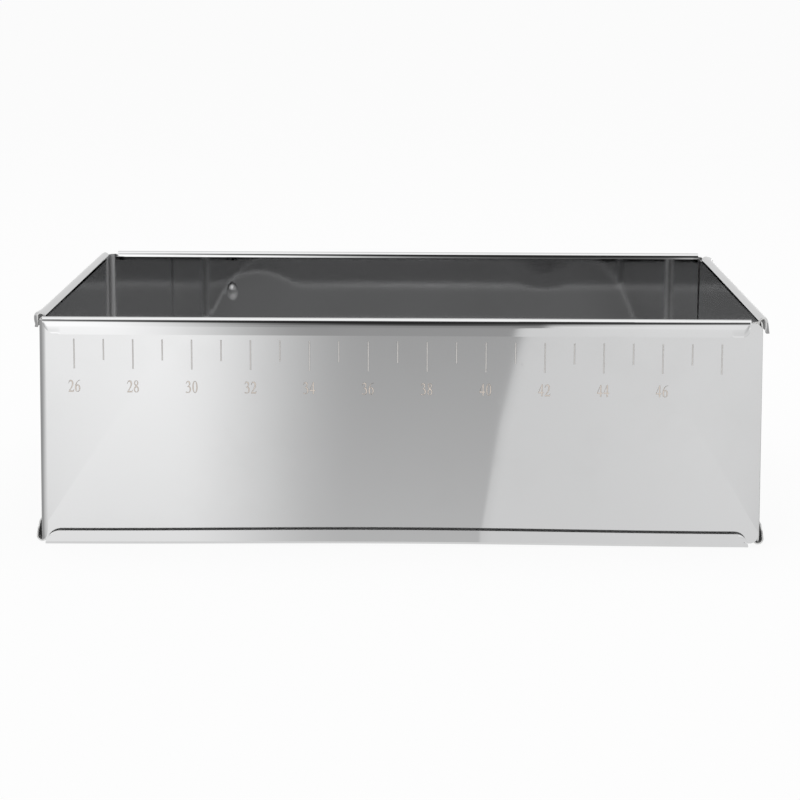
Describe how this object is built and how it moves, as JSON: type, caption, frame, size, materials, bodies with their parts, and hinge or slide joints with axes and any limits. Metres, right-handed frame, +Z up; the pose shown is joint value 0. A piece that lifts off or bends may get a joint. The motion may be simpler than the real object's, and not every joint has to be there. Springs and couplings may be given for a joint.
{
  "type": "adjustable cake frame",
  "caption": "Rectangular bottomless baking frame of bent sheet steel: L-shaped plain and hemmed sheets slide in one another to set its length and width.",
  "frame": {"origin": "centre of the closed frame's outline, in the plane that the lower folds rest on", "axes": "+X along the long side that carries the front scale, from its corner to its free end, +Y from that side to the opposite one, +Z up"},
  "size_m": [0.251, 0.19, 0.079],
  "materials": {
    "scale_panel_front_left": "polished stainless sheet with an etched centimetre scale",
    "hemmed_panel_front_right": "polished stainless sheet",
    "scale_panel_back_right": "polished stainless sheet with an etched centimetre scale",
    "hemmed_panel_back_left": "polished stainless sheet"
  },
  "bodies": {
    "hemmed_front_right": {"hemmed_panel_front_right": "hemmed_panel_front_right"},
    "scale_front_left": {"scale_panel_front_left": "scale_panel_front_left"},
    "scale_back_right": {"scale_panel_back_right": "scale_panel_back_right"},
    "hemmed_back_left": {"hemmed_panel_back_left": "hemmed_panel_back_left"}
  },
  "joints": [
    {"name": "length_slide", "type": "slide", "parent": "hemmed_front_right", "child": "scale_front_left", "axis": [-1, 0, 0], "range_m": [0, 0.23]},
    {"name": "width_slide", "type": "slide", "parent": "hemmed_front_right", "child": "scale_back_right", "axis": [0, 1, 0], "range_m": [0, 0.152]},
    {"name": "width_slide_left", "type": "slide", "parent": "scale_front_left", "child": "hemmed_back_left", "axis": [0, 1, 0], "range_m": [0, 0.152]}
  ],
  "couplings": [
    {"joint": "width_slide_left", "follows": "width_slide", "ratio": 1}
  ]
}
